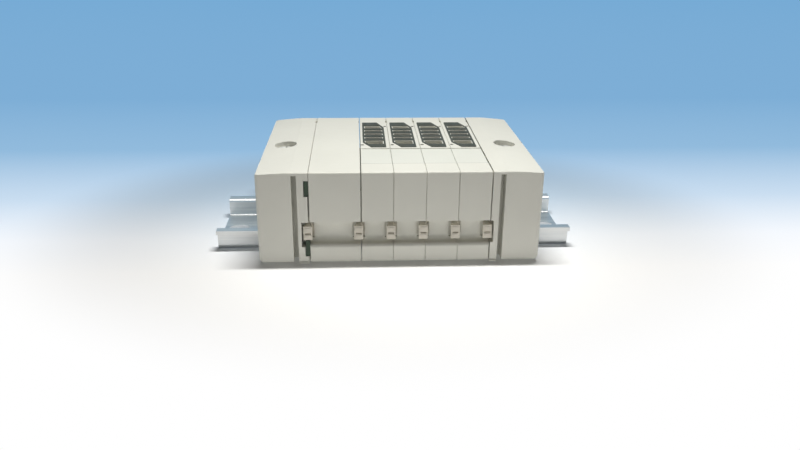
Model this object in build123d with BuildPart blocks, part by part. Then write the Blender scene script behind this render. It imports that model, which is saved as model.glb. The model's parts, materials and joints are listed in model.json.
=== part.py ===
"""Pneumatic valve island on a top-hat rail: an electrics module and four valve stations between
two end plates. Each station shows the five-port gasket on which a valve is screwed.

Frame, in millimetres: X along the rail, Y from the front face to the tube connections at the
rear, Z up. The origin is at the middle of the rail's length and of the depth, at the rail's foot.
"""
from build123d import *
import os

os.makedirs("parts", exist_ok=True)

# ---------------------------------------------------------------- driving dimensions

# Top-hat rail, 35 mm wide and 7.5 mm high
rail_length = 123.0
rail_width = 35.0
rail_height = 7.5
rail_wall = 1.4
rail_hat_width = 30.0
rail_bend = 1.2
rail_fold = 0.4
rail_inset = 29.7
rail_slot_length = 7.5
rail_slot_width = 5.5
rail_slot_pitch = 12.5
rail_slot_count = 10

# Row of modules, from the left end plate to the right one
station_count = 4
station_pitch = 10.7
electrics_width = 16.7
end_plate_width = 17.1
left_side = -45.75
seam = 0.1
wide_seam = 0.3
past = 1.0

# Height and depth that all modules share
body_depth = 70.0
body_foot = 1.1
body_top = 32.4
edge_round = 0.6
edge_chamfer = 0.15
flange_gap = 0.3
rail_relief = 1.1
lip_reach = 2.3
lip_height = 2.9
lip_gap = 0.2

# Rounded channel along the front, in which the coupling clips sit
channel_top = 15.4
channel_floor = 7.5
channel_depth = 3.2
channel_inner_round = 1.9
channel_lip_round = 1.3

# Recess at the rear, below the roof, for the tube connections
recess_depth = 3.8
roof_thickness = 2.0
sill_height = 2.4

# Coupling clips
clip_offset = 0.7
clip_width = 2.95
clip_height = 4.75
clip_bottom = 8.9
clip_travel = 1.4
clip_plate = 1.1
clip_setback = 0.5
clip_split = 0.5
clip_split_width = 2.0
clip_split_height = 2.2
clip_pad = (2.1, 1.2)
clip_pad_proud = 0.15
clip_neck_width = 1.6
clip_body_width = 3.3
clip_body_wall = 0.5
clip_tooth = 1.3
clip_tooth_pitch = 2.8
clip_gap = 0.1
pocket_width = 4.0
pocket_lip = 0.6
pocket_margin = 0.2
left_pocket_foot = 6.6
right_pocket_foot = 7.6
tee_flange_width = 2.2
tee_flange = 0.9
tee_web_width = 1.2
tee_web = 1.1

# Small notches across each joint at the rear of the top
joint_notch_half = 0.35
joint_notch_length = 2.5
joint_notch_depth = 0.8
joint_notch_inset = 5.5

# Five-port gasket, laid in a groove of each station's top
gasket_width = 8.2
gasket_inset = 1.2
gasket_length = 33.5
gasket_rear_inset = 8.7
gasket_front_cut = (2.9, 6.2)
gasket_rear_cut = (2.5, 7.4)
gasket_round = 0.5
gasket_bar = 0.65
gasket_thickness = 1.0
gasket_proud = 0.2
gasket_gap = 0.03
window_pitch = 4.8
window_inset = 25.4
front_window = (3.5, 1.3)
inner_window = (1.2, 1.2)
rear_window = (1.3, 2.2)
port_rim = 0.3
port_slot_width = 1.8

# Air ways inside a station
gallery_radius = 3.0
gallery_level = 19.5
duct_radius = 1.6
side_duct_radius = 1.0
side_duct_offset = 2.7
side_duct_level = 26.2
port_throat = 3.0
split_port_width = 4.2
upper_port = 24.3
lower_port = 11.7
supply_reach = 5.6
supply_duct_radius = 1.5
supply_duct_offset = 2.75
supply_duct_rise = 2.7

# Screw holes that hold a valve on its station
valve_screw_radius = 0.65
valve_screw_depth = 4.0
front_screw_inset = 0.95
front_screw_back = 3.3
rear_screw_inset = 0.9
rear_screw_back = 5.3

# Cover over the plug socket of each station
cover_inset = 9.2
cover_land = 1.2
cover_thickness = 1.6
cover_drop = 0.15
cover_gap = 0.1
cover_peg = (5.0, 3.0, 2.4)
peg_gap = 0.15
socket_depth = 6.0

# Push-in tube connections: a cartridge in the body and a release ring in the cartridge
seat_depth = 7.2
plenum_depth = 1.0
plenum_shoulder = 0.6
plenum_sides = 8
recess_margin = 1.3
cartridge_gap = 0.05
cartridge_radius = 4.25
tube_radius = 2.0
tube_gap = 0.1
collet_wall = 0.65
collet_length = 3.3
collet_gap = 0.05
ring_flange = 0.75
ring_flange_thickness = 1.3
ring_travel = 0.9
supply_inset = 8.2
ring_stand_off = 1.1
tube_socket = 3.0
bore_end_radius = 1.4
supply_cartridge_radius = 5.5
supply_tube_radius = 3.0

# Flat seal round the three galleries at each joint
seal_margin = 1.6
seal_depth = 0.9

# Circuit boards on the left side of each station, and the wider bus board at the left joint
board_thickness = 1.2
board_inset = 7.6
board_setback = 2.1
board_bottom = 17.0
board_top = 29.0
board_gap = 0.15
header_size = (6.0, 3.0)
header_reach = 2.2
bus_board_thickness = 1.5
bus_board_bottom = 3.2
bus_board_low_tab_top = 8.7
bus_board_high_tab_bottom = 24.2
bus_board_top = 29.6
bus_board_tab_setback = 0.3
bus_board_leg = 3.4

# End plates
groove_width = 1.7
groove_depth = 4.0
groove_top = 31.3
left_strip = 3.85
right_strip = 2.75
strip_drop = 0.5
side_taper = 0.7
crease_inset = 11.5
front_drop = 0.65
rear_drop = 1.1
outer_round = 1.5
strip_relief = 0.45
relief_depth = 3.0

# Lock screw and rail clamp in each end plate
screw_inset = 7.55
screw_back = 3.3
head_recess_radius = 3.9
head_recess_depth = 4.4
head_radius = 3.5
head_height = 2.6
head_slot = 0.9
head_slot_length = 4.9
head_slot_depth = 1.3
shank_radius = 2.0
shank_gap = 0.2
shank_end = 4.6
thread_gap = 0.05
clamp_travel = 1.6
clamp_width = 8.0
clamp_arm = 2.4
clamp_leg = 2.0
clamp_toe = 1.6
clamp_toe_height = 1.5
clamp_gap = 0.3
clamp_nip = 0.05
nut_radius = 3.5
nut_drop = 3.0

# Round plug connector at the rear of the electrics module
plug_radius = 6.0
plug_body_radius = 5.6
plug_relief = 0.4
plug_wall = 0.9
plug_level = 17.5
plug_depth = 9.0
plug_stand_off = 3.2
plug_insert_drop = 4.5
plug_gap = 0.05
pin_radius = 0.5
pin_circle = 2.75
pin_count = 7
pin_length = 4.0

# ---------------------------------------------------------------- places worked out from them

front = -body_depth / 2
rear = body_depth / 2
rail_y = front + rail_inset
screw_y = rail_y + screw_back
rail_front = rail_y - rail_width / 2
rail_rear = rail_y + rail_width / 2
flange_under = rail_height - rail_wall
hat_half = rail_hat_width / 2
electrics_x = left_side + end_plate_width
stations_x = [electrics_x + electrics_width + i * station_pitch for i in range(station_count)]
right_plate_x = stations_x[-1] + station_pitch
right_side = right_plate_x + end_plate_width
station_seams = [wide_seam] + [seam] * (station_count - 1)
joints_x = [electrics_x] + stations_x + [right_plate_x]
recess_wall = rear - recess_depth
seat_back = recess_wall - seat_depth
roof_under = body_top - roof_thickness
clip_top = clip_bottom + clip_height
channel_wall = front + channel_depth
pocket_bottom = clip_bottom - pocket_margin
pocket_top = clip_top + clip_travel + pocket_margin
chamber_front = channel_wall + pocket_lip
tee_front = chamber_front + clip_gap + clip_body_wall + clip_gap
tee_back = tee_front + tee_flange
chamber_back = tee_back + tee_web
gasket_rear = rear - gasket_rear_inset
gasket_front = gasket_rear - gasket_length
windows = [front_window, inner_window, inner_window, inner_window, rear_window]
window_middle = rear - window_inset
window_y = [window_middle + (i - len(windows) // 2) * window_pitch for i in range(len(windows))]
groove_bottom = body_top - gasket_thickness + gasket_proud
cover_front = front + cover_inset
cover_rear = gasket_front - cover_land
board_front = front + board_inset
board_rear = cover_rear - board_setback
arm_bottom = rail_height + clamp_travel + clamp_gap


# ---------------------------------------------------------------- shared forms

def box_between(low, high, mode=Mode.ADD):
    """Box between two corners, in the part that is being built."""
    size = [top - bottom for bottom, top in zip(low, high)]
    with Locations(tuple((top + bottom) / 2 for bottom, top in zip(low, high))):
        Box(*size, mode=mode)


def bore_along_y(x, z, y_start, y_end, radius, mode=Mode.SUBTRACT):
    """Round hole or pin from y_start forward to y_end."""
    with Locations((x, (y_start + y_end) / 2, z)):
        Cylinder(radius, y_start - y_end, rotation=(90, 0, 0), mode=mode)


def body_prism(x_low, x_high):
    """Block with the side outline of every module: lip under the rail's front flange, seats on
    both flanges, relief over the rail's channel and a rear foot behind the rail."""
    lip_rear = rail_front - flange_gap + lip_reach
    seat_end = rail_y + hat_half - rail_wall
    with BuildSketch(Plane.YZ.offset(x_low)) as outline:
        with BuildLine():
            Polyline(
                (front, body_foot),
                (lip_rear - lip_height / 2, body_foot),
                (lip_rear, body_foot + lip_height / 2),
                (lip_rear, flange_under - lip_gap),
                (rail_front - flange_gap, flange_under - lip_gap),
                (rail_front - flange_gap, rail_height),
                (2 * rail_y - seat_end, rail_height),
                (2 * rail_y - seat_end, rail_height + rail_relief),
                (seat_end, rail_height + rail_relief),
                (seat_end, rail_height),
                (rail_rear + flange_gap, rail_height),
                (rail_rear + flange_gap, body_foot),
                (rear, body_foot),
                (rear, body_top),
                (front, body_top),
                close=True,
            )
        make_face()
        fillet(outline.vertices().group_by(Axis.X)[0] + outline.vertices().group_by(Axis.X)[-1], edge_round)
    extrude(outline.sketch, amount=x_high - x_low)


def chamfer_seams(part, x_low, x_high):
    """Small chamfers where the front and the top meet the two side faces."""
    sides = part.edges().filter_by(
        lambda edge: min(abs(edge.center().X - x_low), abs(edge.center().X - x_high)) < 0.01
    )
    shown = sides.filter_by(
        lambda edge: edge.center().Y < front + edge_round or edge.center().Z > body_top - edge_round
    )
    chamfer(shown, length=edge_chamfer)


def cut_front_channel(x_low, x_high):
    """Channel with a flat back that sweeps out over the rounded lower lip."""
    with BuildSketch(Plane.YZ.offset(x_low)) as channel:
        with BuildLine():
            back = Line((channel_wall, channel_top), (channel_wall, channel_floor + channel_inner_round))
            sweep_out = TangentArc(
                back @ 1,
                (channel_wall - channel_inner_round, channel_floor),
                tangent=back % 1,
            )
            lip = TangentArc(sweep_out @ 1, (front, channel_floor - channel_lip_round), tangent=sweep_out % 1)
            Polyline(
                lip @ 1,
                (front - past, channel_floor - channel_lip_round),
                (front - past, channel_top),
                back @ 0,
            )
        make_face()
    extrude(channel.sketch, amount=x_high - x_low, mode=Mode.SUBTRACT)


def cut_joint_notch(joint_x):
    """Half of a small notch across a joint, near the rear of the top."""
    notch_rear = rear - joint_notch_inset
    box_between(
        (joint_x - joint_notch_half, notch_rear - joint_notch_length, body_top - joint_notch_depth),
        (joint_x + joint_notch_half, notch_rear, body_top + past),
        Mode.SUBTRACT,
    )


def cut_rear_recess(x_low, x_high, margin=0.0):
    """Recess below the roof at the rear, from which the connections reach out."""
    box_between(
        (x_low - margin, recess_wall, sill_height),
        (x_high + margin, rear + past, roof_under),
        Mode.SUBTRACT,
    )


def cut_tube_seat(x, level, radius):
    """Seat for a push-in cartridge, with an eight-sided chamber behind it that takes the air ways."""
    bore_along_y(x, level, recess_wall, seat_back, radius + cartridge_gap)
    with BuildSketch(Plane.XZ.offset(-seat_back)) as chamber:
        with Locations((x, level)):
            RegularPolygon(radius - plenum_shoulder, plenum_sides)
    extrude(chamber.sketch, amount=plenum_depth, mode=Mode.SUBTRACT)


def cut_clip_pocket(joint_x, mouth_foot=pocket_bottom):
    """Half of the pocket at one joint. What stays inside is half of the tee that the clip grips,
    with teeth on the right half, so that a raised clip lets the right module go."""
    centre = joint_x - clip_offset
    box_between(
        (centre - pocket_width / 2, front - past, mouth_foot),
        (centre + pocket_width / 2, chamber_front, pocket_top),
        Mode.SUBTRACT,
    )
    half_chamber = clip_body_width / 2 + clip_gap
    with BuildSketch(Plane.XY.offset(pocket_bottom)) as chamber:
        with Locations((joint_x, (chamber_front + chamber_back) / 2)):
            Rectangle(2 * half_chamber, chamber_back - chamber_front)
        with Locations((joint_x, (tee_front + tee_back) / 2)):
            Rectangle(tee_flange_width, tee_flange, mode=Mode.SUBTRACT)
        with Locations((joint_x, (tee_back + chamber_back) / 2)):
            Rectangle(tee_web_width, tee_web, mode=Mode.SUBTRACT)
    extrude(chamber.sketch, amount=pocket_top - pocket_bottom, mode=Mode.SUBTRACT)
    first_gap = clip_bottom + clip_tooth
    gap_height = clip_tooth_pitch - clip_tooth
    for bottom in (first_gap, first_gap + clip_tooth_pitch):
        box_between(
            (joint_x + tee_web_width / 2, tee_front, bottom),
            (joint_x + tee_flange_width / 2, tee_back, bottom + gap_height),
            Mode.SUBTRACT,
        )


def gasket_outline(x_low, grow=0.0):
    """Outline of the five-port gasket with its two cut corners."""
    x_left = x_low + gasket_inset
    x_right = x_left + gasket_width
    with BuildSketch() as outline:
        with BuildLine():
            Polyline(
                (x_left, gasket_front + gasket_front_cut[1]),
                (x_left + gasket_front_cut[0], gasket_front),
                (x_right, gasket_front),
                (x_right, gasket_rear - gasket_rear_cut[1]),
                (x_right - gasket_rear_cut[0], gasket_rear),
                (x_left, gasket_rear),
                close=True,
            )
        make_face()
        if grow:
            offset(amount=grow, kind=Kind.INTERSECTION)
    return outline.sketch


def window_sketch(x_low, index, shrink):
    """One gasket window: a bar-wide inset of the outline, cut to the window's reach each way."""
    with BuildSketch() as window:
        add(gasket_outline(x_low, -(gasket_bar + shrink)))
        forward, back = windows[index]
        with Locations((x_low + gasket_inset + gasket_width / 2, window_y[index] + (back - forward) / 2)):
            Rectangle(gasket_width, forward + back - 2 * shrink, mode=Mode.INTERSECT)
    return window.sketch


# ---------------------------------------------------------------- rail

with BuildPart() as din_rail:
    with BuildSketch(Plane.YZ.offset(-rail_length / 2)) as rail_section:
        with Locations((rail_y, rail_height / 2)):
            Rectangle(rail_hat_width, rail_height)
        with Locations((rail_y, rail_height - rail_wall / 2)):
            Rectangle(rail_width, rail_wall)
        outer_bends = rail_section.vertices().filter_by(
            lambda v: abs(abs(v.X - rail_y) - hat_half) < 0.01 and v.Y < rail_height - 0.01
        )
        fillet(outer_bends, radius=rail_bend)
        channel_centre = (rail_y, rail_wall + rail_height / 2)
        with Locations(channel_centre):
            Rectangle(rail_hat_width - 2 * rail_wall, rail_height, mode=Mode.SUBTRACT)
        inner_corners = rail_section.vertices().filter_by(
            lambda v: abs(abs(v.X - rail_y) - (hat_half - rail_wall)) < 0.01
        )
        fillet(inner_corners.group_by(Axis.Y)[0], radius=rail_fold)
        mouth_corners = rail_section.vertices().filter_by(
            lambda v: abs(abs(v.X - rail_y) - (hat_half - rail_wall)) < 0.01 and v.Y > rail_height - 0.01
        )
        fillet(mouth_corners, radius=rail_bend)
        flange_corners = rail_section.vertices().filter_by(
            lambda v: abs(abs(v.X - rail_y) - hat_half) < 0.01 and abs(v.Y - flange_under) < 0.01
        )
        fillet(flange_corners, radius=rail_fold)
    extrude(amount=rail_length)
    with BuildSketch():
        with Locations((0, rail_y)):
            with GridLocations(rail_slot_pitch, 1, rail_slot_count, 1):
                SlotOverall(rail_slot_length, rail_slot_width)
    extrude(amount=rail_wall, mode=Mode.SUBTRACT)
din_rail.part.label = "din_rail"
export_step(din_rail.part, "parts/din_rail.step")


# ---------------------------------------------------------------- end plates

def cut_lock_screw_seat(screw_x):
    """Head recess, shank hole and the slot below in which the rail clamp travels."""
    with Locations((screw_x, screw_y, body_top)):
        CounterBoreHole(shank_radius + shank_gap, head_recess_radius, head_recess_depth, body_top)
    half = clamp_width / 2 + clamp_gap
    box_between(
        (screw_x - half, screw_y - half, rail_height),
        (screw_x + half, rail_rear + clamp_gap + clamp_leg + clamp_gap, arm_bottom + clamp_arm + clamp_gap),
        Mode.SUBTRACT,
    )
    box_between(
        (screw_x - half, rail_rear, 0),
        (screw_x + half, rail_rear + clamp_gap + clamp_leg + clamp_gap, rail_height),
        Mode.SUBTRACT,
    )


def slope_outer_top(crease_x, outer_x):
    """Top falls away from a crease towards the outer side, more at the rear than at the front."""
    ends = []
    for end_y, drop in ((front, front_drop), (rear, rear_drop)):
        with BuildSketch(Plane.XZ.offset(-end_y)) as end:
            with BuildLine():
                Polyline(
                    (crease_x, body_top),
                    (outer_x, body_top - drop),
                    (outer_x, body_top + past),
                    (crease_x, body_top + past),
                    close=True,
                )
            make_face()
        ends.append(end.sketch.face())
    loft(ends, ruled=True, mode=Mode.SUBTRACT)


def cut_plate_groove(x_low):
    """Narrow deep groove down the front, open at the foot."""
    box_between(
        (x_low, front - past, 0),
        (x_low + groove_width, front + groove_depth, groove_top),
        Mode.SUBTRACT,
    )


def taper_side(outer_x, inner_x):
    """Outer side leans in towards the rear, where its corner is rounded."""
    with BuildSketch() as wedge:
        with BuildLine():
            Polyline((outer_x, front), (outer_x, rear), (inner_x, rear), close=True)
        make_face()
    extrude(wedge.sketch, amount=body_top + past, mode=Mode.SUBTRACT)


def drop_strip(x_low, x_high):
    """Foot of the inner strip, which reaches a little lower than the modules."""
    box_between((x_low, front, body_foot - strip_drop), (x_high, front + groove_depth, body_foot))


def bus_board_outline(grow=0.0):
    """Bus board seen along X: a main field, a leg in front of the rail and two tabs forward."""
    leg_rear = board_front + bus_board_leg
    tab_front = front + bus_board_tab_setback
    with BuildSketch() as outline:
        with BuildLine():
            Polyline(
                (tab_front, bus_board_bottom),
                (leg_rear, bus_board_bottom),
                (leg_rear, board_bottom),
                (board_rear, board_bottom),
                (board_rear, bus_board_top),
                (tab_front, bus_board_top),
                (tab_front, bus_board_high_tab_bottom),
                (board_front, bus_board_high_tab_bottom),
                (board_front, bus_board_low_tab_top),
                (tab_front, bus_board_low_tab_top),
                close=True,
            )
        make_face()
        if grow:
            offset(amount=grow, kind=Kind.INTERSECTION)
    return outline.sketch


def cut_supply_ways():
    """Blind ends of the three galleries. A duct joins the outer two, which are the exhausts, to the
    upper tube connection, and a second duct joins the middle one to the lower connection."""
    with BuildSketch(Plane.YZ.offset(right_plate_low)) as galleries:
        with Locations(*[(y, gallery_level) for y in window_y[::2]]):
            Circle(gallery_radius)
    extrude(galleries.sketch, amount=supply_reach, mode=Mode.SUBTRACT)
    duct_x = supply_x - supply_duct_offset
    lower_duct = lower_port + supply_duct_rise
    for level, ways in ((upper_port, (window_y[0], window_y[-1])), (lower_duct, (window_middle,))):
        bore_along_y(duct_x, level, seat_back, ways[0], supply_duct_radius)
        for way_y in ways:
            with Locations((duct_x, way_y, (level + gallery_level) / 2)):
                Cylinder(supply_duct_radius, abs(level - gallery_level), mode=Mode.SUBTRACT)


left_crease = left_side + crease_inset
left_screw_x = left_side + screw_inset
left_strip_x = electrics_x - left_strip
with BuildPart() as left_end_plate:
    body_prism(left_side, electrics_x - seam)
    taper_side(left_side, left_side + side_taper)
    rear_corner = left_end_plate.edges().filter_by(Axis.Z).sort_by_distance((left_side, rear, body_top))
    fillet(rear_corner[0], radius=outer_round)
    slope_outer_top(left_crease, left_side)
    drop_strip(left_strip_x, electrics_x - seam)
    cut_plate_groove(left_strip_x - groove_width)
    cut_clip_pocket(electrics_x, left_pocket_foot)
    cut_joint_notch(electrics_x)
    board_pocket_x = electrics_x - bus_board_thickness - board_gap
    with BuildSketch(Plane.YZ.offset(board_pocket_x)):
        add(bus_board_outline(board_gap))
    extrude(amount=bus_board_thickness + board_gap, mode=Mode.SUBTRACT)
    for notch_bottom, notch_top in (
        (bus_board_bottom, bus_board_low_tab_top),
        (bus_board_high_tab_bottom, bus_board_top),
    ):
        box_between(
            (board_pocket_x, front - past, notch_bottom),
            (electrics_x, front + relief_depth, notch_top),
            Mode.SUBTRACT,
        )
    box_between(
        (electrics_x - strip_relief, front - past, 0),
        (electrics_x, front + relief_depth, bus_board_high_tab_bottom),
        Mode.SUBTRACT,
    )
    cut_lock_screw_seat(left_screw_x)
left_end_plate.part.label = "left_end_plate"
export_step(left_end_plate.part, "parts/left_end_plate.step")

right_crease = right_side - crease_inset
right_screw_x = right_side - screw_inset
right_plate_low = right_plate_x + wide_seam
supply_x = right_plate_x + supply_inset
with BuildPart() as right_end_plate:
    body_prism(right_plate_low, right_side)
    taper_side(right_side, right_side - side_taper)
    rear_corner = right_end_plate.edges().filter_by(Axis.Z).sort_by_distance((right_side, rear, body_top))
    fillet(rear_corner[0], radius=outer_round)
    slope_outer_top(right_crease, right_side)
    drop_strip(right_plate_low, right_plate_x + right_strip)
    cut_plate_groove(right_plate_x + right_strip)
    cut_clip_pocket(right_plate_x, right_pocket_foot)
    cut_joint_notch(right_plate_x)
    cut_rear_recess(supply_x - supply_cartridge_radius, supply_x + supply_cartridge_radius, recess_margin)
    for level in (upper_port, lower_port):
        cut_tube_seat(supply_x, level, supply_cartridge_radius)
    cut_supply_ways()
    cut_lock_screw_seat(right_screw_x)
right_end_plate.part.label = "right_end_plate"
export_step(right_end_plate.part, "parts/right_end_plate.step")


# ---------------------------------------------------------------- lock screws and rail clamps

head_seat = body_top - head_recess_depth
for side, screw_x in (("left", left_screw_x), ("right", right_screw_x)):
    with BuildPart() as lock_screw:
        with BuildSketch(Plane.XY.offset(head_seat)):
            with Locations((screw_x, screw_y)):
                Circle(head_radius)
        extrude(amount=head_height)
        fillet(lock_screw.edges().group_by(Axis.Z)[-1], radius=edge_round)
        with BuildSketch(Plane.XY.offset(head_seat)):
            with Locations((screw_x, screw_y)):
                Circle(shank_radius)
        extrude(amount=shank_end - head_seat)
        with BuildSketch(Plane.XY.offset(head_seat + head_height)):
            with Locations((screw_x, screw_y)):
                Rectangle(head_slot_length, head_slot)
                Rectangle(head_slot, head_slot_length)
        extrude(amount=-head_slot_depth, mode=Mode.SUBTRACT)
    lock_screw.part.label = side + "_lock_screw"
    export_step(lock_screw.part, "parts/" + side + "_lock_screw.step")

    with BuildPart() as rail_clamp:
        leg_front = rail_rear + clamp_gap
        toe_top = flange_under - clamp_nip
        with BuildSketch(Plane.YZ.offset(screw_x - clamp_width / 2)) as clamp_section:
            with BuildLine():
                Polyline(
                    (screw_y - clamp_width / 2, arm_bottom),
                    (leg_front, arm_bottom),
                    (leg_front, toe_top),
                    (leg_front - clamp_gap - clamp_toe, toe_top),
                    (leg_front - clamp_gap - clamp_toe, toe_top - clamp_toe_height / 2),
                    (leg_front, toe_top - clamp_toe_height),
                    (leg_front + clamp_leg, toe_top - clamp_toe_height),
                    (leg_front + clamp_leg, arm_bottom + clamp_arm),
                    (screw_y - clamp_width / 2, arm_bottom + clamp_arm),
                    close=True,
                )
            make_face()
        extrude(amount=clamp_width)
        with BuildSketch(Plane.XY.offset(arm_bottom)):
            with Locations((screw_x, screw_y)):
                RegularPolygon(nut_radius, 6, major_radius=False)
        extrude(amount=-nut_drop)
        with BuildSketch(Plane.XY.offset(arm_bottom + clamp_arm)):
            with Locations((screw_x, screw_y)):
                Circle(shank_radius + thread_gap)
        extrude(amount=-(clamp_arm + nut_drop), mode=Mode.SUBTRACT)
    rail_clamp.part.label = side + "_rail_clamp"
    export_step(rail_clamp.part, "parts/" + side + "_rail_clamp.step")


# ---------------------------------------------------------------- boards

with BuildPart() as bus_board:
    with BuildSketch(Plane.YZ.offset(electrics_x - bus_board_thickness)):
        add(bus_board_outline())
    extrude(amount=bus_board_thickness - seam)
bus_board.part.label = "bus_board"
export_step(bus_board.part, "parts/bus_board.step")

header_y = (board_front + board_rear) / 2
header_z = (board_bottom + board_top) / 2


def cut_board_pocket(x_low):
    """Pocket in a station's left side for its board."""
    box_between(
        (x_low, board_front - board_gap, board_bottom - board_gap),
        (x_low + board_thickness + board_gap, board_rear + board_gap, board_top + board_gap),
        Mode.SUBTRACT,
    )


def cut_header_pocket(x_high):
    """Pocket in the right side of a module for the plug of the next station's board."""
    box_between(
        (
            x_high - header_reach - board_gap,
            header_y - header_size[0] / 2 - board_gap,
            header_z - header_size[1] / 2 - board_gap,
        ),
        (x_high, header_y + header_size[0] / 2 + board_gap, header_z + header_size[1] / 2 + board_gap),
        Mode.SUBTRACT,
    )


for number, x_low in enumerate(stations_x, start=1):
    with BuildPart() as station_board:
        board_face = x_low + station_seams[number - 1]
        box_between((board_face, board_front, board_bottom), (x_low + board_thickness, board_rear, board_top))
        box_between(
            (x_low - header_reach, header_y - header_size[0] / 2, header_z - header_size[1] / 2),
            (board_face, header_y + header_size[0] / 2, header_z + header_size[1] / 2),
        )
    station_board.part.label = "station_board_" + str(number)
    export_step(station_board.part, "parts/station_board_" + str(number) + ".step")


# ---------------------------------------------------------------- joint seals

def seal_outline(grow=0.0):
    """Outline round the three galleries, in a sketch that looks along X."""
    radius = gallery_radius + seal_margin + grow
    with Locations((window_middle, gallery_level)):
        SlotOverall(window_y[-1] - window_y[0] + 2 * radius, 2 * radius)


def cut_seal_groove(x_high):
    """Shallow groove for the flat seal in a module's right side."""
    with BuildSketch(Plane.YZ.offset(x_high)) as groove:
        seal_outline(gasket_gap)
    extrude(groove.sketch, amount=-seal_depth, mode=Mode.SUBTRACT)


seam_after = station_seams + [wide_seam]
for number, joint_x in enumerate(joints_x[1:], start=1):
    with BuildPart() as joint_seal:
        with BuildSketch(Plane.YZ.offset(joint_x - seal_depth)):
            seal_outline()
            with Locations(*[(y, gallery_level) for y in window_y[::2]]):
                Circle(gallery_radius + gasket_gap, mode=Mode.SUBTRACT)
        extrude(amount=seal_depth + seam_after[number - 1])
    joint_seal.part.label = "joint_seal_" + str(number)
    export_step(joint_seal.part, "parts/joint_seal_" + str(number) + ".step")


# ---------------------------------------------------------------- electrics module

electrics_low = electrics_x
electrics_high = electrics_x + electrics_width
plug_x = electrics_x + electrics_width / 2
with BuildPart() as electrics_module:
    body_prism(electrics_low, electrics_high)
    chamfer_seams(electrics_module, electrics_low, electrics_high)
    cut_front_channel(electrics_low, electrics_high)
    cut_clip_pocket(electrics_low)
    cut_clip_pocket(electrics_high)
    cut_header_pocket(electrics_high)
    cut_seal_groove(electrics_high)
    cut_joint_notch(electrics_low)
    cut_joint_notch(electrics_high)
    cut_rear_recess(plug_x - plug_radius, plug_x + plug_radius, recess_margin)
    bore_along_y(plug_x, plug_level, recess_wall, recess_wall - plug_depth, plug_body_radius + plug_gap)
electrics_module.part.label = "electrics_module"
export_step(electrics_module.part, "parts/electrics_module.step")

plug_inner = plug_radius - plug_wall
plug_back = recess_wall - plug_depth
thread_start = recess_wall + plug_relief
with BuildPart() as connector_shell:
    bore_along_y(plug_x, plug_level, recess_wall + plug_stand_off, thread_start, plug_radius, Mode.ADD)
    bore_along_y(plug_x, plug_level, thread_start, plug_back, plug_body_radius, Mode.ADD)
    bore_along_y(plug_x, plug_level, recess_wall + plug_stand_off, plug_back, plug_inner)
connector_shell.part.label = "connector_shell"
export_step(connector_shell.part, "parts/connector_shell.step")

insert_face = recess_wall + plug_stand_off - plug_insert_drop
with BuildPart() as connector_insert:
    bore_along_y(plug_x, plug_level, insert_face, plug_back, plug_inner, Mode.ADD)
connector_insert.part.label = "connector_insert"
export_step(connector_insert.part, "parts/connector_insert.step")

with BuildPart() as connector_pins:
    with BuildSketch(Plane.XZ.offset(-insert_face)):
        with Locations((plug_x, plug_level)):
            with PolarLocations(pin_circle, pin_count):
                Circle(pin_radius)
            Circle(pin_radius)
    extrude(amount=-pin_length)
connector_pins.part.label = "connector_pins"
export_step(connector_pins.part, "parts/connector_pins.step")


# ---------------------------------------------------------------- valve stations

def cut_ports(x_low):
    """Gasket groove, the five port slots and the air ways below them. The galleries of ports 1, 3
    and 5 run through all stations; ports 2 and 4 run back to the tube connections."""
    with BuildSketch(Plane.XY.offset(groove_bottom)) as groove:
        add(gasket_outline(x_low, gasket_gap))
        for index in range(len(windows)):
            add(window_sketch(x_low, index, gasket_gap), mode=Mode.SUBTRACT)
    extrude(groove.sketch, amount=body_top - groove_bottom, mode=Mode.SUBTRACT)

    middle_x = x_low + station_pitch / 2
    window_left = x_low + gasket_inset + gasket_bar + port_rim
    throat_bottom = body_top - port_throat
    depths = (gallery_level, lower_port, gallery_level, side_duct_level, gallery_level)
    for index, depth in enumerate(depths):
        with BuildSketch(Plane.XY.offset(throat_bottom)) as throat:
            add(window_sketch(x_low, index, port_rim))
        extrude(throat.sketch, amount=port_throat, mode=Mode.SUBTRACT)
        slot_right = x_low + station_pitch - window_left + x_low
        if index == len(windows) - 1:
            slot_right = window_left + split_port_width
        box_between(
            (window_left + port_rim, window_y[index] - port_slot_width / 2, depth),
            (slot_right - port_rim, window_y[index] + port_slot_width / 2, throat_bottom),
            Mode.SUBTRACT,
        )
    with BuildSketch(Plane.YZ.offset(x_low)) as galleries:
        with Locations(*[(y, gallery_level) for y in window_y[::2]]):
            Circle(gallery_radius)
    extrude(galleries.sketch, amount=station_pitch, mode=Mode.SUBTRACT)
    bore_along_y(middle_x, lower_port, seat_back, window_y[1], duct_radius)
    bore_along_y(middle_x + side_duct_offset, side_duct_level, seat_back, window_y[3], side_duct_radius)


def cut_tube_seats(x_low):
    """Recess at the rear with the seats of the two push-in cartridges."""
    cut_rear_recess(x_low, x_low + station_pitch)
    for level in (upper_port, lower_port):
        cut_tube_seat(x_low + station_pitch / 2, level, cartridge_radius)


def cut_cover_step(x_low):
    """Step in the top for the plug cover, and the plug socket below it."""
    middle_x = x_low + station_pitch / 2
    step = body_top - cover_thickness - cover_drop
    box_between(
        (x_low, cover_front, step),
        (x_low + station_pitch, cover_rear, body_top + past),
        Mode.SUBTRACT,
    )
    half_x = cover_peg[0] / 2 + peg_gap
    half_y = cover_peg[1] / 2 + peg_gap
    peg_y = (cover_front + cover_rear) / 2
    box_between(
        (middle_x - half_x, peg_y - half_y, step - socket_depth),
        (middle_x + half_x, peg_y + half_y, step),
        Mode.SUBTRACT,
    )


def cut_valve_screw_holes(x_low):
    """Two blind screw holes in the cut corners of the gasket."""
    with Locations(
        (x_low + front_screw_inset, gasket_front + front_screw_back, body_top),
        (x_low + station_pitch - rear_screw_inset, gasket_rear - rear_screw_back, body_top),
    ):
        Hole(valve_screw_radius, valve_screw_depth)


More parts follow.
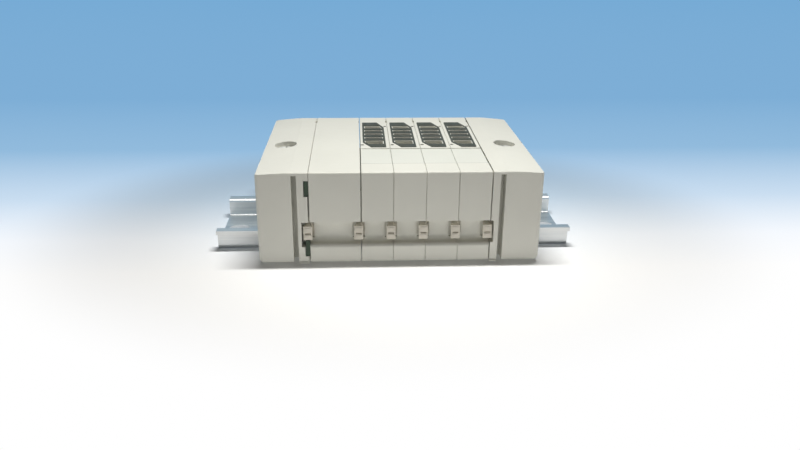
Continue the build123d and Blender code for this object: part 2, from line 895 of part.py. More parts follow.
for number, x_low in enumerate(stations_x, start=1):
    x_body = x_low + station_seams[number - 1]
    x_high = x_low + station_pitch
    with BuildPart() as valve_base:
        body_prism(x_body, x_high)
        chamfer_seams(valve_base, x_body, x_high)
        cut_front_channel(x_body, x_high)
        cut_clip_pocket(x_low)
        cut_clip_pocket(x_high)
        cut_board_pocket(x_low)
        if number < station_count:
            cut_header_pocket(x_high)
        cut_seal_groove(x_high)
        cut_joint_notch(x_low)
        cut_joint_notch(x_high)
        cut_cover_step(x_low)
        cut_ports(x_low)
        cut_tube_seats(x_low)
        cut_valve_screw_holes(x_low)
    valve_base.part.label = "valve_base_" + str(number)
    export_step(valve_base.part, "parts/valve_base_" + str(number) + ".step")

    with BuildPart() as port_gasket:
        with BuildSketch(Plane.XY.offset(groove_bottom)) as gasket_plan:
            add(gasket_outline(x_low))
            fillet(gasket_plan.vertices(), radius=gasket_round)
            for index in range(len(windows)):
                add(window_sketch(x_low, index, 0.0), mode=Mode.SUBTRACT)
        extrude(amount=gasket_thickness)
    port_gasket.part.label = "port_gasket_" + str(number)
    export_step(port_gasket.part, "parts/port_gasket_" + str(number) + ".step")

    with BuildPart() as plug_cover:
        cover_top = body_top - cover_drop
        cover_bottom = cover_top - cover_thickness
        box_between(
            (x_body, cover_front + cover_gap, cover_bottom),
            (x_high, cover_rear - cover_gap, cover_top),
        )
        chamfer(plug_cover.edges().group_by(Axis.Z)[-1], length=edge_chamfer)
        peg_x = x_low + station_pitch / 2
        peg_y = (cover_front + cover_rear) / 2
        box_between(
            (peg_x - cover_peg[0] / 2, peg_y - cover_peg[1] / 2, cover_bottom - cover_peg[2]),
            (peg_x + cover_peg[0] / 2, peg_y + cover_peg[1] / 2, cover_bottom),
        )
    plug_cover.part.label = "plug_cover_" + str(number)
    export_step(plug_cover.part, "parts/plug_cover_" + str(number) + ".step")


# ---------------------------------------------------------------- push-in tube connections

def cartridge(x, level, radius, tube):
    """Cartridge with a seat for the release ring, a socket for the tube and a throat."""
    ring_seat = tube + tube_gap + collet_wall + collet_gap
    ring_seat_end = recess_wall + ring_stand_off - collet_length - ring_travel - collet_gap
    bore_along_y(x, level, recess_wall, seat_back, radius, Mode.ADD)
    bore_along_y(x, level, recess_wall, ring_seat_end, ring_seat)
    bore_along_y(x, level, ring_seat_end, ring_seat_end - tube_socket, tube + tube_gap)
    bore_along_y(x, level, ring_seat_end, seat_back, bore_end_radius)


def release_ring(x, level, tube):
    """Ring with a flange to press on and a collet that reaches into the cartridge."""
    collet = tube + tube_gap + collet_wall
    flange_face = recess_wall + ring_stand_off
    flange_outer = flange_face + ring_flange_thickness
    bore_along_y(x, level, flange_outer, flange_face, collet + ring_flange, Mode.ADD)
    bore_along_y(x, level, flange_face, flange_face - collet_length, collet, Mode.ADD)
    bore_along_y(x, level, flange_outer, flange_face - collet_length, tube + tube_gap)


fittings = []
for number, x_low in enumerate(stations_x, start=1):
    fittings.append(("station_" + str(number), x_low + station_pitch / 2, cartridge_radius, tube_radius))
fittings.append(("supply", supply_x, supply_cartridge_radius, supply_tube_radius))

for name, middle_x, radius, tube in fittings:
    with BuildPart() as tube_fitting:
        for level in (upper_port, lower_port):
            cartridge(middle_x, level, radius, tube)
    tube_fitting.part.label = name + "_cartridges"
    export_step(tube_fitting.part, "parts/" + name + "_cartridges.step")
    for row, level in (("upper", upper_port), ("lower", lower_port)):
        with BuildPart() as ring:
            release_ring(middle_x, level, tube)
        ring.part.label = name + "_" + row + "_ring"
        export_step(ring.part, "parts/" + name + "_" + row + "_ring.step")


# ---------------------------------------------------------------- coupling clips

for number, joint_x in enumerate(joints_x, start=1):
    face_x = joint_x - clip_offset
    plate_front = front + clip_setback
    plate_back = plate_front + clip_plate
    body_front = chamber_front + clip_gap
    hook_front = tee_back + clip_gap
    hook_back = hook_front + clip_body_wall
    with BuildPart() as coupling_clip:
        box_between(
            (face_x - clip_width / 2, plate_front, clip_bottom),
            (face_x + clip_width / 2, plate_back, clip_top),
        )
        split = clip_bottom + clip_split_height
        box_between(
            (face_x - clip_split_width / 2, plate_front, split - clip_split / 2),
            (face_x + clip_split_width / 2, plate_front + clip_split, split + clip_split / 2),
            Mode.SUBTRACT,
        )
        for low, high in ((clip_bottom, split - clip_split / 2), (split + clip_split / 2, clip_top)):
            box_between(
                (face_x - clip_pad[0] / 2, plate_front - clip_pad_proud, (low + high - clip_pad[1]) / 2),
                (face_x + clip_pad[0] / 2, plate_front, (low + high + clip_pad[1]) / 2),
            )
        box_between(
            (face_x - clip_neck_width / 2, plate_back, clip_bottom),
            (face_x + clip_neck_width / 2, body_front, clip_top),
        )
        inner_half = tee_flange_width / 2 + clip_gap
        outer_half = clip_body_width / 2
        slot_half = tee_web_width / 2 + clip_gap
        with BuildSketch(Plane.XY.offset(clip_bottom)):
            with Locations((joint_x, (body_front + hook_back) / 2)):
                Rectangle(2 * outer_half, hook_back - body_front)
            with Locations((joint_x, (tee_front + tee_back) / 2)):
                Rectangle(2 * inner_half, tee_flange + 2 * clip_gap, mode=Mode.SUBTRACT)
            with Locations((joint_x, (hook_front + hook_back) / 2)):
                Rectangle(2 * slot_half, hook_back - hook_front, mode=Mode.SUBTRACT)
        extrude(amount=clip_height)
        for bottom in (clip_bottom + clip_tooth, clip_bottom + clip_tooth + clip_tooth_pitch):
            box_between(
                (joint_x + slot_half, hook_front, bottom),
                (joint_x + inner_half, hook_back, min(bottom + clip_tooth_pitch - clip_tooth, clip_top)),
                Mode.SUBTRACT,
            )
    coupling_clip.part.label = "coupling_clip_" + str(number)
    export_step(coupling_clip.part, "parts/coupling_clip_" + str(number) + ".step")
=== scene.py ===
# %% [markdown]
# # A valve island on its rail
# The object is the base of a pneumatic valve island: grey-white moulded modules in a row, clamped
# on a steel rail. The modules, clips, screws and rail come from the frame at their real size. This
# lesson gives them their finishes, adds the small repeated forms that a frame leaves out, and sets
# up a floor, lights and a camera. Everything is in metres, with X along the rail and Z up.

import json
import math

import bpy
from mathutils import Matrix, Vector


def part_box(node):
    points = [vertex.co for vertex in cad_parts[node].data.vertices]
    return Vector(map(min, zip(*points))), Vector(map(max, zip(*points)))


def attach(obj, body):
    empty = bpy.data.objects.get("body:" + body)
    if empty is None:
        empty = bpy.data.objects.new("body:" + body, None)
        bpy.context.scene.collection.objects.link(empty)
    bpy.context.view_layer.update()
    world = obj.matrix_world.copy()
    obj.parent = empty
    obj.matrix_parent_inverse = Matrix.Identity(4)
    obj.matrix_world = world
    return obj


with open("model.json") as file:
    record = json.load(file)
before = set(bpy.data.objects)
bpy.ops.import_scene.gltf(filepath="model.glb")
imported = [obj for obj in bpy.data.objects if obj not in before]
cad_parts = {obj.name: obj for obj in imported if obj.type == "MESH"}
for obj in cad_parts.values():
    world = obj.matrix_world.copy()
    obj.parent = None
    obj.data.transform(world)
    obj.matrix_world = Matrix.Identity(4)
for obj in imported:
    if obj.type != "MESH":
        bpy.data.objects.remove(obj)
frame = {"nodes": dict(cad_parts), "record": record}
nodes = frame["nodes"]
node_slots = {entry["node"]: entry["material_slot"] for entry in frame["record"]["subparts"]}
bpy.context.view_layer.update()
millimetre = 0.001


# %% [markdown]
# ## Finishes
# Each finish is one node tree. A moulded plastic isn't one flat colour: it has a fine grain that
# breaks up its gloss, and a faint unevenness where the melt flowed. Both come from noise on Object
# coordinates, so the pattern stays on the part when it moves. A small helper joins the nodes, and
# every finish then reads like a recipe.

# %% Helpers for node trees
def srgb(red, green, blue):
    """A colour as it is seen on a screen, 0 to 255, turned into the linear values of a shader."""
    channels = []
    for value in (red, green, blue):
        share = value / 255
        channels.append(share / 12.92 if share <= 0.04045 else ((share + 0.055) / 1.055) ** 2.4)
    return (*channels, 1.0)


def new_material(name):
    """An empty material with its shader and the Object coordinates that all patterns read."""
    material = bpy.data.materials.new(name)
    material.use_nodes = True
    tree = material.node_tree
    shader = tree.nodes["Principled BSDF"]
    place = tree.nodes.new("ShaderNodeTexCoord")
    return material, tree, shader, place.outputs["Object"]


def stretched(tree, vector, scale):
    """The coordinates scaled by a different amount along each axis."""
    mapping = tree.nodes.new("ShaderNodeMapping")
    mapping.inputs["Scale"].default_value = scale
    tree.links.new(vector, mapping.inputs["Vector"])
    return mapping.outputs["Vector"]


def noise(tree, vector, scale, detail=2.0, roughness=0.5):
    """A noise pattern with so many waves to the metre."""
    texture = tree.nodes.new("ShaderNodeTexNoise")
    texture.inputs["Scale"].default_value = scale
    texture.inputs["Detail"].default_value = detail
    texture.inputs["Roughness"].default_value = roughness
    tree.links.new(vector, texture.inputs["Vector"])
    return texture.outputs["Fac"]


def spread(tree, value, low, high):
    """The middle of a noise pattern stretched over the range from low to high."""
    ranged = tree.nodes.new("ShaderNodeMapRange")
    ranged.inputs["From Min"].default_value = 0.3
    ranged.inputs["From Max"].default_value = 0.7
    ranged.inputs["To Min"].default_value = low
    ranged.inputs["To Max"].default_value = high
    tree.links.new(value, ranged.inputs["Value"])
    return ranged.outputs["Result"]


def between(tree, share, first, second):
    """A colour between two, by a share from 0 to 1."""
    mix = tree.nodes.new("ShaderNodeMix")
    mix.data_type = "RGBA"
    tree.links.new(share, mix.inputs["Factor"])
    mix.inputs["A"].default_value = first
    mix.inputs["B"].default_value = second
    return mix.outputs["Result"]


def times(tree, first, second):
    """The product of a value and a second value or plain number."""
    product = tree.nodes.new("ShaderNodeMath")
    product.operation = "MULTIPLY"
    tree.links.new(first, product.inputs[0])
    if isinstance(second, float):
        product.inputs[1].default_value = second
    else:
        tree.links.new(second, product.inputs[1])
    return product.outputs["Value"]


def bump(tree, shader, height, strength, distance):
    """Turns a pattern into small dents of the given depth in metres."""
    node = tree.nodes.new("ShaderNodeBump")
    node.inputs["Strength"].default_value = strength
    node.inputs["Distance"].default_value = distance
    tree.links.new(height, node.inputs["Height"])
    tree.links.new(node.outputs["Normal"], shader.inputs["Normal"])


# %% [markdown]
# ## Moulded plastics
# The housings are a warm grey-white with a fine spark-eroded grain. The clips and the covers are
# other mouldings in nearly the same colour, so they share one recipe with their own values: that
# way a change of grain reaches all of them.

# %% Recipe for moulded plastic
# Painted shade: the shadow in the seam in front of each cover is painted into the cover's colour.
painted_shade_softness = 0.1 * millimetre
painted_shade_colour = srgb(120, 120, 112)
gloss_wander = 0.05


def painted_shade_in_front_of(tree, place, colour, painted_shade_end):
    """The colour with a painted seam shade on the part that lies in front of the given end along Y.
    """
    split = tree.nodes.new("ShaderNodeSeparateXYZ")
    tree.links.new(place, split.inputs["Vector"])
    shade = tree.nodes.new("ShaderNodeMapRange")
    shade.inputs["From Min"].default_value = painted_shade_end - painted_shade_softness
    shade.inputs["From Max"].default_value = painted_shade_end
    tree.links.new(split.outputs["Y"], shade.inputs["Value"])
    shaded = tree.nodes.new("ShaderNodeMix")
    shaded.data_type = "RGBA"
    shaded.inputs["A"].default_value = painted_shade_colour
    tree.links.new(shade.outputs["Result"], shaded.inputs["Factor"])
    tree.links.new(colour, shaded.inputs["B"])
    return shaded.outputs["Result"]


def moulded_plastic(name, light, dark, roughness, grain_waves, grain_depth, painted_shade_end=None):
    """Plastic with a cloudy colour, an uneven gloss, a moulded grain and, if asked, a painted seam
    shade.
    """
    material, tree, shader, place = new_material(name)
    cloud = spread(tree, noise(tree, place, 45.0, 3.0), 0.0, 1.0)
    colour = between(tree, cloud, dark, light)
    # Painted shade: in front of the given end along Y, the colour turns to the seam's dark grey.
    if painted_shade_end is not None:
        colour = painted_shade_in_front_of(tree, place, colour, painted_shade_end)
    tree.links.new(colour, shader.inputs["Base Color"])
    sheen = noise(tree, place, 400.0, 2.0)
    gloss = spread(tree, sheen, roughness - gloss_wander, roughness + gloss_wander)
    tree.links.new(gloss, shader.inputs["Roughness"])
    shader.inputs["IOR"].default_value = 1.5
    shader.inputs["Specular IOR Level"].default_value = 0.5
    bump(tree, shader, noise(tree, place, grain_waves, 2.0), 0.35, grain_depth)
    return material


housing_plastic = moulded_plastic(
    "housing_plastic", srgb(222, 221, 211), srgb(217, 216, 206), 0.46, 2600.0, 0.00004
)
# The band of painted seam shade reaches this far back from the cover's front edge.
painted_shade_width = 0.55 * millimetre
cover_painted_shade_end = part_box("plug_cover_1")[0][1] + painted_shade_width
cover_plastic = moulded_plastic(
    "cover_plastic", srgb(218, 219, 210), srgb(213, 214, 205), 0.5, 2600.0, 0.00004, cover_painted_shade_end
)
clip_plastic = moulded_plastic(
    "clip_plastic", srgb(219, 213, 199), srgb(211, 205, 191), 0.48, 3200.0, 0.00002
)
cartridge_plastic = moulded_plastic(
    "cartridge_plastic", srgb(132, 134, 136), srgb(122, 124, 126), 0.42, 3000.0, 0.00003
)
ring_plastic = moulded_plastic(
    "ring_plastic", srgb(52, 53, 56), srgb(44, 45, 48), 0.38, 3000.0, 0.00003
)
insert_plastic = moulded_plastic(
    "insert_plastic", srgb(36, 36, 38), srgb(30, 30, 32), 0.5, 3000.0, 0.00002
)
print("plastics made")


# %% [markdown]
# ## Rubber
# The gaskets are black nitrile rubber. Real nitrile is a little green-brown, with a satin bloom
# that is stronger in some places, so the roughness wanders more than on plastic.

# %% Rubber
def moulded_rubber(name, light, dark):
    """Satin rubber with a bloom."""
    material, tree, shader, place = new_material(name)
    bloom = spread(tree, noise(tree, place, 220.0, 3.0), 0.0, 1.0)
    tree.links.new(between(tree, bloom, dark, light), shader.inputs["Base Color"])
    gloss = spread(tree, noise(tree, place, 300.0, 2.0), 0.5, 0.72)
    tree.links.new(gloss, shader.inputs["Roughness"])
    shader.inputs["Specular IOR Level"].default_value = 0.4
    bump(tree, shader, noise(tree, place, 2200.0, 2.0), 0.3, 0.00003)
    return material


gasket_rubber = moulded_rubber("gasket_rubber", srgb(62, 64, 55), srgb(48, 52, 44))
seal_rubber = moulded_rubber("seal_rubber", srgb(42, 42, 42), srgb(32, 32, 32))


# %% [markdown]
# ## Metals
# The rail is bright zinc plate on rolled strip. Rolling leaves long streaks, so its noise is drawn
# out along X: few waves to the metre that way and many across. The screws and the connector shell
# are nickel plated, with a finer and rounder unevenness.

# %% Metals
def plated_metal(name, light, dark, roughness, streak_scale, depth):
    """Plated steel with streaks whose length is set by the scale along each axis."""
    material, tree, shader, place = new_material(name)
    streaks = noise(tree, stretched(tree, place, streak_scale), 1.0, 4.0, 0.6)
    colour = between(tree, spread(tree, streaks, 0.0, 1.0), dark, light)
    tree.links.new(colour, shader.inputs["Base Color"])
    gloss = spread(tree, streaks, roughness - 0.06, roughness + 0.08)
    tree.links.new(gloss, shader.inputs["Roughness"])
    shader.inputs["Metallic"].default_value = 1.0
    bump(tree, shader, streaks, 0.25, depth)
    return material


rail_zinc = plated_metal(
    "rail_zinc", srgb(226, 226, 224), srgb(206, 208, 208), 0.33, (25.0, 900.0, 900.0), 0.00002
)
screw_nickel = plated_metal(
    "screw_nickel", srgb(236, 236, 233), srgb(206, 206, 203), 0.5, (700.0, 700.0, 700.0), 0.00012
)
clamp_zinc = plated_metal(
    "clamp_zinc", srgb(196, 198, 200), srgb(172, 175, 178), 0.36, (500.0, 80.0, 500.0), 0.00002
)
shell_nickel = plated_metal(
    "shell_nickel", srgb(212, 208, 198), srgb(196, 192, 182), 0.26, (800.0, 800.0, 800.0), 0.00001
)
contact_gold = plated_metal(
    "contact_gold", srgb(232, 196, 112), srgb(214, 176, 92), 0.24, (900.0, 900.0, 900.0), 0.00001
)


# %% [markdown]
# ## Circuit board
# A board's green comes from solder mask over copper. The mask is glossy, and paler where copper
# lies under it. A voronoi pattern with straight-sided cells stands for the copper areas.

# %% Solder mask
def solder_mask(name):
    """Green lacquer over a pattern of copper areas."""
    material, tree, shader, place = new_material(name)
    cells = tree.nodes.new("ShaderNodeTexVoronoi")
    cells.distance = "CHEBYCHEV"
    cells.inputs["Scale"].default_value = 420.0
    tree.links.new(place, cells.inputs["Vector"])
    copper = spread(tree, cells.outputs["Distance"], 0.0, 1.0)
    green = between(tree, copper, srgb(32, 60, 33), srgb(25, 48, 27))
    tree.links.new(green, shader.inputs["Base Color"])
    shader.inputs["Roughness"].default_value = 0.32
    bump(tree, shader, copper, 0.2, 0.00003)
    return material


board_mask = solder_mask("board_mask")

# %% [markdown]
# ## Which piece has which finish
# The frame's record names a material slot for every piece. One table turns a slot into a finish, so
# two pieces of the same material can never differ by mistake.

# %% Give each frame node its finish
finishes = {
    "housing": housing_plastic,
    "cover": cover_plastic,
    "clip": clip_plastic,
    "cartridge": cartridge_plastic,
    "release_ring": ring_plastic,
    "connector_insert": insert_plastic,
    "gasket": gasket_rubber,
    "seal": seal_rubber,
    "rail_steel": rail_zinc,
    "screw_steel": screw_nickel,
    "clamp_steel": clamp_zinc,
    "connector_shell": shell_nickel,
    "contact": contact_gold,
    "board": board_mask,
}
for node_name, node_object in nodes.items():
    node_object.data.materials.clear()
    node_object.data.materials.append(finishes[node_slots[node_name]])
print("finished", len(nodes), "nodes in", len(finishes), "finishes")


# %% [markdown]
# ## Small repeated forms
# The frame leaves out forms that repeat in a small space: the thread on the cable connector, the
# sealing ring behind its collar and the grip ribs round each release ring. Each one is a
# Geometry Nodes tree with named inputs, so the pitch or the number of ribs is one value. A tree is
# run once and kept as a plain mesh, in its place on the object.

# %% Running a tree
def tree_with_inputs(name, inputs):
    """A Geometry Nodes tree with these named inputs, which takes no mesh and gives one out."""
    tree = bpy.data.node_groups.new(name, "GeometryNodeTree")
    for label, (kind, start) in inputs:
        socket = tree.interface.new_socket(label, in_out="INPUT", socket_type=kind)
        socket.default_value = start
    tree.interface.new_socket("Geometry", in_out="OUTPUT", socket_type="NodeSocketGeometry")
    given = tree.nodes.new("NodeGroupInput")
    result = tree.nodes.new("NodeGroupOutput")
    return tree, given.outputs, result.inputs["Geometry"]


def swept(tree, path, thickness, sides, capped):
    """A curve given a body: a small regular profile is drawn along it."""
    profile = tree.nodes.new("GeometryNodeCurvePrimitiveCircle")
    profile.inputs["Resolution"].default_value = sides
    tree.links.new(thickness, profile.inputs["Radius"])
    sweep = tree.nodes.new("GeometryNodeCurveToMesh")
    sweep.inputs["Fill Caps"].default_value = capped
    tree.links.new(path, sweep.inputs["Curve"])
    tree.links.new(profile.outputs["Curve"], sweep.inputs["Profile Curve"])
    return sweep.outputs["Mesh"]


def set_down(tree, geometry, place, result, material):
    """Turns a form that was built along Z to lie along Y, moves it to its place and finishes it."""
    laid = tree.nodes.new("GeometryNodeTransform")
    laid.inputs["Rotation"].default_value = (math.radians(-90), 0.0, 0.0)
    tree.links.new(geometry, laid.inputs["Geometry"])
    tree.links.new(place, laid.inputs["Translation"])
    real = tree.nodes.new("GeometryNodeRealizeInstances")
    tree.links.new(laid.outputs["Geometry"], real.inputs["Geometry"])
    finish = tree.nodes.new("GeometryNodeSetMaterial")
    finish.inputs["Material"].default_value = material
    tree.links.new(real.outputs["Geometry"], finish.inputs["Geometry"])
    tree.links.new(finish.outputs["Geometry"], result)


def run_tree(name, tree, values, material, body):
    """Runs the tree with these values and puts its mesh on a body."""
    carrier = bpy.data.objects.new(name + "_carrier", bpy.data.meshes.new(name + "_carrier"))
    bpy.context.collection.objects.link(carrier)
    modifier = carrier.modifiers.new("grow", "NODES")
    modifier.node_group = tree
    for item in tree.interface.items_tree:
        if item.in_out == "INPUT" and item.name in values:
            modifier[item.identifier] = values[item.name]
    depsgraph = bpy.context.evaluated_depsgraph_get()
    mesh = bpy.data.meshes.new_from_object(carrier.evaluated_get(depsgraph), depsgraph=depsgraph)
    bpy.data.objects.remove(carrier)
    piece = bpy.data.objects.new(name, mesh)
    if not mesh.materials:
        mesh.materials.append(material)
    bpy.context.collection.objects.link(piece)
    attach(piece, body)
    print(name, len(mesh.polygons), "faces")


number = "NodeSocketFloat"
whole = "NodeSocketInt"
vector = "NodeSocketVector"

# %% [markdown]
# ## Connector thread
# A cut thread is one ridge that climbs round the shell. A helix curve swept with a three-sided
# profile gives it in one piece. It could be modelled as stacked rings, but those would show no
# lead.

# %% Connector thread
def thread_tree(material):
    """One climbing ridge: a helix swept with a small triangle."""
    tree, given, result = tree_with_inputs(
        "thread",
        [
            ("Radius", (number, 0.006)),
            ("Pitch", (number, 0.001)),
            ("Turns", (number, 2.0)),
            ("Ridge", (number, 0.0002)),
            ("Place", (vector, (0.0, 0.0, 0.0))),
        ],
    )
    helix = tree.nodes.new("GeometryNodeCurveSpiral")
    helix.inputs["Resolution"].default_value = 36
    tree.links.new(given["Turns"], helix.inputs["Rotations"])
    tree.links.new(given["Radius"], helix.inputs["Start Radius"])
    tree.links.new(given["Radius"], helix.inputs["End Radius"])
    climb = times(tree, given["Turns"], given["Pitch"])
    tree.links.new(climb, helix.inputs["Height"])
    ridge = swept(tree, helix.outputs["Curve"], given["Ridge"], sides=3, capped=True)
    set_down(tree, ridge, given["Place"], result, material)
    return tree


shell_low, shell_high = (Vector(corner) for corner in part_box("connector_shell"))
shell_middle = (shell_low + shell_high) / 2
shell_radius = (shell_high.x - shell_low.x) / 2
collar_length = 2.8 * millimetre
collar_start = shell_high.y - collar_length
thread_pitch = 1.0 * millimetre
thread_ridge = 0.2 * millimetre
thread_margin = 0.35 * millimetre
run_tree(
    "connector_thread",
    thread_tree(shell_nickel),
    {
        "Radius": shell_radius,
        "Pitch": thread_pitch,
        "Turns": (collar_length - 2 * thread_margin) / thread_pitch,
        "Ridge": thread_ridge,
        "Place": (shell_middle.x, collar_start + thread_margin, shell_middle.z),
    },
    shell_nickel,
    "island",
)

# %% [markdown]
# ## Sealing ring of the connector
# A round cord ring lies behind the collar and keeps water out when the plug's nut is tightened. It
# is a circle swept with a profile of twelve sides, which is round enough at this size.

# %% Sealing ring
def cord_ring_tree(material):
    """A round cord bent into a ring."""
    tree, given, result = tree_with_inputs(
        "cord_ring",
        [
            ("Radius", (number, 0.006)),
            ("Cord", (number, 0.0003)),
            ("Place", (vector, (0.0, 0.0, 0.0))),
        ],
    )
    ring = tree.nodes.new("GeometryNodeCurvePrimitiveCircle")
    ring.inputs["Resolution"].default_value = 64
    tree.links.new(given["Radius"], ring.inputs["Radius"])
    cord = swept(tree, ring.outputs["Curve"], given["Cord"], sides=12, capped=False)
    set_down(tree, cord, given["Place"], result, material)
    return tree


cord_radius = 0.24 * millimetre
run_tree(
    "connector_seal",
    cord_ring_tree(seal_rubber),
    {
        "Radius": shell_radius - cord_radius,
        "Cord": cord_radius,
        "Place": (shell_middle.x, collar_start - cord_radius, shell_middle.z),
    },
    seal_rubber,
    "island",
)

# %% [markdown]
# ## Grip ribs of the release rings
# A release ring is pressed in with a fingernail, so its rim has small ribs. Each rib is a cone with
# a cut tip: a moulded rib leans in a little towards its free end, or it wouldn't leave the mould.
# The ribs of one ring are copies on a circle of points, and every ring carries its own, because
# each ring moves by itself.

# %% Grip ribs
tip_share = 0.7


def rib_tree(material):
    """Tapered ribs on a circle."""
    tree, given, result = tree_with_inputs(
        "grip_ribs",
        [
            ("Rim", (number, 0.0035)),
            ("Ribs", (whole, 20)),
            ("Length", (number, 0.001)),
            ("Foot", (number, 0.0002)),
            ("Place", (vector, (0.0, 0.0, 0.0))),
        ],
    )
    points = tree.nodes.new("GeometryNodeMeshCircle")
    tree.links.new(given["Ribs"], points.inputs["Vertices"])
    tree.links.new(given["Rim"], points.inputs["Radius"])
    rib = tree.nodes.new("GeometryNodeMeshCone")
    rib.inputs["Vertices"].default_value = 8
    tree.links.new(given["Foot"], rib.inputs["Radius Bottom"])
    tip = times(tree, given["Foot"], tip_share)
    tree.links.new(tip, rib.inputs["Radius Top"])
    tree.links.new(given["Length"], rib.inputs["Depth"])
    copies = tree.nodes.new("GeometryNodeInstanceOnPoints")
    tree.links.new(points.outputs["Mesh"], copies.inputs["Points"])
    tree.links.new(rib.outputs["Mesh"], copies.inputs["Instance"])
    set_down(tree, copies.outputs["Instances"], given["Place"], result, material)
    return tree


grip_ribs = rib_tree(ring_plastic)
rim_thickness = 1.3 * millimetre
rib_length = 1.0 * millimetre
rib_foot = 0.17 * millimetre
ribs_on_small_ring = 20
ribs_on_supply_ring = 28
for node_name in sorted(name for name in nodes if name.endswith("_ring")):
    ring_low, ring_high = (Vector(corner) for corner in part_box(node_name))
    ring_middle = (ring_low + ring_high) / 2
    rim_start = ring_high.y - (rim_thickness + rib_length) / 2
    run_tree(
        node_name + "_ribs",
        grip_ribs,
        {
            "Rim": (ring_high.x - ring_low.x) / 2,
            "Ribs": ribs_on_supply_ring if node_name.startswith("supply") else ribs_on_small_ring,
            "Length": rib_length,
            "Foot": rib_foot,
            "Place": (ring_middle.x, rim_start, ring_middle.z),
        },
        ring_plastic,
        node_name,
    )


# %% [markdown]
# ## Floor
# The object stands on a sheet of paper that is white in front and runs into blue behind. The sheet
# is one plane whose colour is a gradient along Y on Object coordinates. Near the object the paper
# is lit like everything else, so it keeps the shadows. Further out the camera and the mirrors see
# the same gradient at an even strength, so the sheet has no lamp's pool of light on it. A large
# bright sheet also throws light up at what stands on it, so the paper glows a little for that light
# alone.

# %% Paper floor
# Each stop is a place along Y and the paper's colour there.
blue_run = [
    (-0.040, srgb(255, 255, 255)),
    (-0.012, srgb(246, 250, 255)),
    (0.030, srgb(202, 222, 241)),
    (0.100, srgb(146, 187, 221)),
    (0.210, srgb(126, 174, 214)),
    (0.800, srgb(119, 171, 213)),
]


def gradient_along(tree, value, stops):
    """A colour ramp whose stops are given in the units of the value."""
    low, high = stops[0][0], stops[-1][0]
    share = tree.nodes.new("ShaderNodeMapRange")
    share.inputs["From Min"].default_value = low
    share.inputs["From Max"].default_value = high
    tree.links.new(value, share.inputs["Value"])
    ramp_node = tree.nodes.new("ShaderNodeValToRGB")
    ramp = ramp_node.color_ramp
    ramp.elements[0].color = stops[0][1]
    ramp.elements[1].color = stops[-1][1]
    for place, colour in stops[1:-1]:
        ramp.elements.new((place - low) / (high - low)).color = colour
    tree.links.new(share.outputs["Result"], ramp_node.inputs["Fac"])
    return ramp_node.outputs["Color"]


def seen_by_camera_or_mirror(tree):
    """1 for rays from the camera or a reflection, 0 for the light that bounces about."""
    paths = tree.nodes.new("ShaderNodeLightPath")
    seen = tree.nodes.new("ShaderNodeMath")
    seen.operation = "MAXIMUM"
    tree.links.new(paths.outputs["Is Camera Ray"], seen.inputs[0])
    tree.links.new(paths.outputs["Is Glossy Ray"], seen.inputs[1])
    return seen.outputs["Value"]


lit_patch_shape = (0.75, 1.0, 1.0)


def paper_floor(reach, lit_radius, even_radius, bounce):
    """A wide plane under the rail's foot, lit up to lit_radius and even beyond even_radius."""
    mesh = bpy.data.meshes.new("paper_floor")
    corners = [(-reach, -reach, 0), (reach, -reach, 0), (reach, reach, 0), (-reach, reach, 0)]
    mesh.from_pydata(corners, [], [(0, 1, 2, 3)])
    floor = bpy.data.objects.new("paper_floor", mesh)
    bpy.context.collection.objects.link(floor)
    material, tree, shader, place = new_material("paper")
    split = tree.nodes.new("ShaderNodeSeparateXYZ")
    tree.links.new(place, split.inputs["Vector"])
    colour = gradient_along(tree, split.outputs["Y"], blue_run)
    tree.links.new(colour, shader.inputs["Base Color"])
    shader.inputs["Roughness"].default_value = 0.7
    shader.inputs["Specular IOR Level"].default_value = 0.1
    even = tree.nodes.new("ShaderNodeEmission")
    tree.links.new(colour, even.inputs["Color"])
    distance = tree.nodes.new("ShaderNodeVectorMath")
    distance.operation = "LENGTH"
    tree.links.new(stretched(tree, place, lit_patch_shape), distance.inputs[0])
    outside = tree.nodes.new("ShaderNodeMapRange")
    outside.interpolation_type = "SMOOTHSTEP"
    outside.inputs["From Min"].default_value = lit_radius
    outside.inputs["From Max"].default_value = even_radius
    tree.links.new(distance.outputs["Value"], outside.inputs["Value"])
    seen = seen_by_camera_or_mirror(tree)
    mix = tree.nodes.new("ShaderNodeMixShader")
    tree.links.new(times(tree, outside.outputs["Result"], seen), mix.inputs["Fac"])
    tree.links.new(shader.outputs["BSDF"], mix.inputs[1])
    tree.links.new(even.outputs["Emission"], mix.inputs[2])
    unseen = tree.nodes.new("ShaderNodeMath")
    unseen.operation = "MULTIPLY_ADD"
    unseen.inputs[1].default_value = -bounce
    unseen.inputs[2].default_value = bounce
    tree.links.new(seen, unseen.inputs[0])
    glow = tree.nodes.new("ShaderNodeEmission")
    tree.links.new(colour, glow.inputs["Color"])
    tree.links.new(unseen.outputs["Value"], glow.inputs["Strength"])
    both = tree.nodes.new("ShaderNodeAddShader")
    tree.links.new(mix.outputs["Shader"], both.inputs[0])
    tree.links.new(glow.outputs["Emission"], both.inputs[1])
    tree.links.new(both.outputs["Shader"], tree.nodes["Material Output"].inputs["Surface"])
    floor.data.materials.append(material)


paper_floor(reach=6.0, lit_radius=0.06, even_radius=0.11, bounce=0.18)

# %% [markdown]
# ## Light
# A long narrow soft light hangs over the row, a little behind its front face. It lights the tops,
# leaves the fronts in soft shade and draws a narrow shadow along the foot. A weaker and broader one
# in front lifts the rounded lip. The world fills the rest, and mirrors see a blue-grey room with a
# bright ceiling.

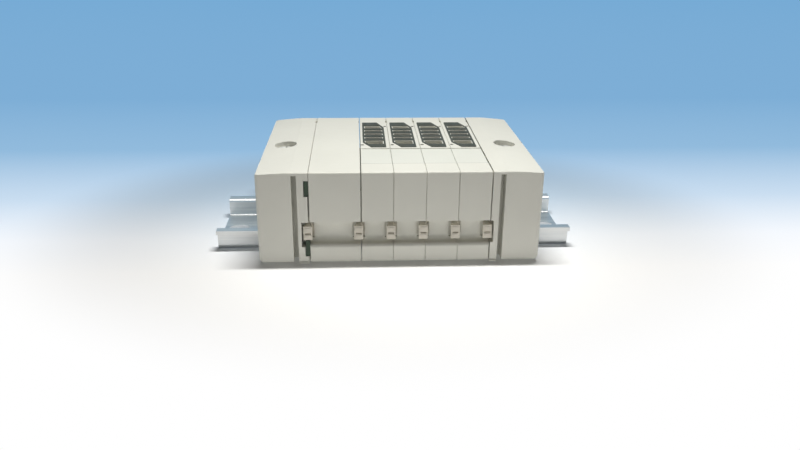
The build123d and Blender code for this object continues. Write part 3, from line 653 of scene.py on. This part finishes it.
# %% Lamps and world
def soft_box(name, place, target, width, depth, beam_angle, power, colour):
    """A rectangular area light with a grid, which faces a point and isn't seen itself."""
    lamp = bpy.data.lights.new(name, "AREA")
    lamp.shape = "RECTANGLE"
    lamp.size = width
    lamp.size_y = depth
    lamp.spread = math.radians(beam_angle)
    lamp.energy = power
    lamp.color = colour
    lamp_object = bpy.data.objects.new(name, lamp)
    lamp_object.location = place
    direction = Vector(target) - Vector(place)
    lamp_object.rotation_euler = direction.to_track_quat("-Z", "Y").to_euler()
    lamp_object.visible_camera = False
    bpy.context.collection.objects.link(lamp_object)


soft_box(
    "strip_over",
    place=(0.014, -0.013, 0.30),
    target=(0.014, -0.050, 0.0),
    width=0.14,
    depth=0.014,
    beam_angle=125.0,
    power=0.43,
    colour=(1.0, 0.99, 0.96),
)
soft_box(
    "box_front",
    place=(0.0, -0.24, 0.40),
    target=(0.0, -0.03, 0.02),
    width=0.30,
    depth=0.10,
    beam_angle=180.0,
    power=0.10,
    colour=(1.0, 0.93, 0.84),
)


# Each stop is a height, from the horizon at 0 to straight up at 1, and the room's colour there.
room_colours = [
    (0.0, srgb(150, 182, 206)),
    (0.45, srgb(140, 168, 186)),
    (0.65, srgb(196, 208, 214)),
    (0.85, srgb(252, 252, 250)),
    (1.0, srgb(255, 255, 255)),
]


def room_world(fill_strength):
    """Even fill light, with a blue-grey room for reflections."""
    world = bpy.data.worlds.new("room")
    bpy.context.scene.world = world
    world.use_nodes = True
    tree = world.node_tree
    tree.nodes.clear()
    output = tree.nodes.new("ShaderNodeOutputWorld")
    fill = tree.nodes.new("ShaderNodeBackground")
    fill.inputs["Color"].default_value = (0.97, 0.98, 1.0, 1.0)
    fill.inputs["Strength"].default_value = fill_strength
    room = tree.nodes.new("ShaderNodeBackground")
    direction = tree.nodes.new("ShaderNodeTexCoord")
    split = tree.nodes.new("ShaderNodeSeparateXYZ")
    tree.links.new(direction.outputs["Generated"], split.inputs["Vector"])
    tree.links.new(gradient_along(tree, split.outputs["Z"], room_colours), room.inputs["Color"])
    mix = tree.nodes.new("ShaderNodeMixShader")
    tree.links.new(seen_by_camera_or_mirror(tree), mix.inputs["Fac"])
    tree.links.new(fill.outputs["Background"], mix.inputs[1])
    tree.links.new(room.outputs["Background"], mix.inputs[2])
    tree.links.new(mix.outputs["Shader"], output.inputs["Surface"])


room_world(fill_strength=0.03)
bpy.context.scene.view_settings.view_transform = "Standard"

# %% [markdown]
# ## Camera
# The camera stands in front of the row and looks down on it by about 22 degrees, a little from the
# left and rolled by less than a degree. Its matrix is built from those angles: a forward, a right
# and an up vector, in the columns that Blender expects.

# %% Camera
def look_from(place, pitch, yaw, roll, lens):
    """A camera at a place, turned right by yaw, down by pitch and then rolled."""
    forward = Vector(
        (math.sin(yaw) * math.cos(pitch), math.cos(yaw) * math.cos(pitch), -math.sin(pitch))
    )
    right = Vector((math.cos(yaw), -math.sin(yaw), 0.0))
    up = right.cross(forward)
    rolled_right = math.cos(roll) * right + math.sin(roll) * up
    rolled_up = -math.sin(roll) * right + math.cos(roll) * up
    turned = Matrix((rolled_right, rolled_up, -forward)).transposed().to_4x4()
    camera = bpy.data.cameras.new("camera")
    camera.lens = lens
    camera.sensor_width = 36.0
    camera.clip_start = 0.01
    camera_object = bpy.data.objects.new("camera", camera)
    camera_object.matrix_world = Matrix.Translation(place) @ turned
    bpy.context.collection.objects.link(camera_object)
    bpy.context.scene.camera = camera_object


look_from(
    place=Vector((-0.01318, -0.26805, 0.10989)),
    pitch=math.radians(22.303),
    yaw=math.radians(3.466),
    roll=math.radians(0.6685),
    lens=34.52,
)
